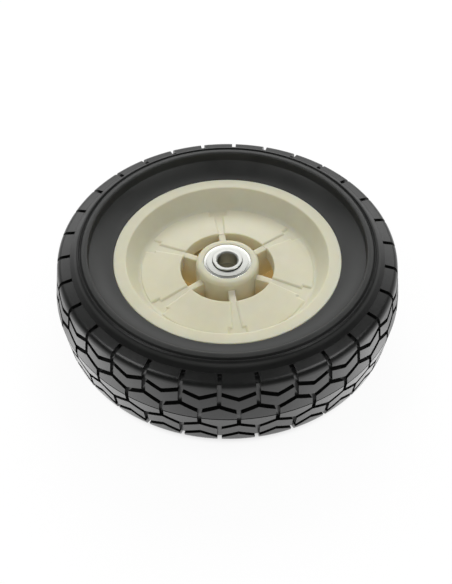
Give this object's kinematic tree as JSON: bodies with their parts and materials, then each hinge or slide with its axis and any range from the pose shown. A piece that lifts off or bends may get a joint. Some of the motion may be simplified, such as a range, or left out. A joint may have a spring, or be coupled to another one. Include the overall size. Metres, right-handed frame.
{
  "type": "lawn mower wheel",
  "caption": "Treaded rubber tyre on a cream moulded plastic wheel that turns on two shielded ball bearings around a plain axle bore, for a walk-behind mower.",
  "frame": {"origin": "middle of the axle bore, in the tyre's mid-plane", "axes": "+Z along the axle, towards the dished front of the wheel; the wheel lies on its back"},
  "size_m": [0.2038, 0.2038, 0.062],
  "materials": {
    "tyre_rubber": "black moulded rubber",
    "cream_plastic": "cream moulded plastic, fine matt",
    "ring_steel": "ground steel",
    "shield_steel": "bright pressed steel",
    "ball_steel": "polished steel",
    "cage_plastic": "natural polyamide",
    "sleeve_steel": "zinc plated steel"
  },
  "bodies": {
    "axle_core": {"distance_sleeve": "sleeve_steel", "upper_inner_ring": "ring_steel", "lower_inner_ring": "ring_steel"},
    "wheel": {"tyre": "tyre_rubber", "wheel_moulding": "cream_plastic", "upper_outer_ring": "ring_steel", "lower_outer_ring": "ring_steel", "upper_outer_shield": "shield_steel", "upper_inner_shield": "shield_steel", "lower_outer_shield": "shield_steel", "lower_inner_shield": "shield_steel"},
    "upper_ball_set": {"upper_cage": "cage_plastic", "upper_ball_1": "ball_steel", "upper_ball_2": "ball_steel", "upper_ball_3": "ball_steel", "upper_ball_4": "ball_steel", "upper_ball_5": "ball_steel", "upper_ball_6": "ball_steel", "upper_ball_7": "ball_steel", "upper_ball_8": "ball_steel"},
    "lower_ball_set": {"lower_cage": "cage_plastic", "lower_ball_1": "ball_steel", "lower_ball_2": "ball_steel", "lower_ball_3": "ball_steel", "lower_ball_4": "ball_steel", "lower_ball_5": "ball_steel", "lower_ball_6": "ball_steel", "lower_ball_7": "ball_steel", "lower_ball_8": "ball_steel"}
  },
  "joints": [
    {"name": "wheel_spin", "type": "hinge", "parent": "axle_core", "child": "wheel", "pos_m": [0, 0, 0], "axis": [0, 0, 1], "continuous": true},
    {"name": "upper_ball_set_spin", "type": "hinge", "parent": "axle_core", "child": "upper_ball_set", "pos_m": [0, 0, 0], "axis": [0, 0, 1], "continuous": true},
    {"name": "lower_ball_set_spin", "type": "hinge", "parent": "axle_core", "child": "lower_ball_set", "pos_m": [0, 0, 0], "axis": [0, 0, 1], "continuous": true}
  ],
  "couplings": [
    {"joint": "upper_ball_set_spin", "follows": "wheel_spin", "ratio": 0.61905},
    {"joint": "lower_ball_set_spin", "follows": "wheel_spin", "ratio": 0.61905}
  ]
}
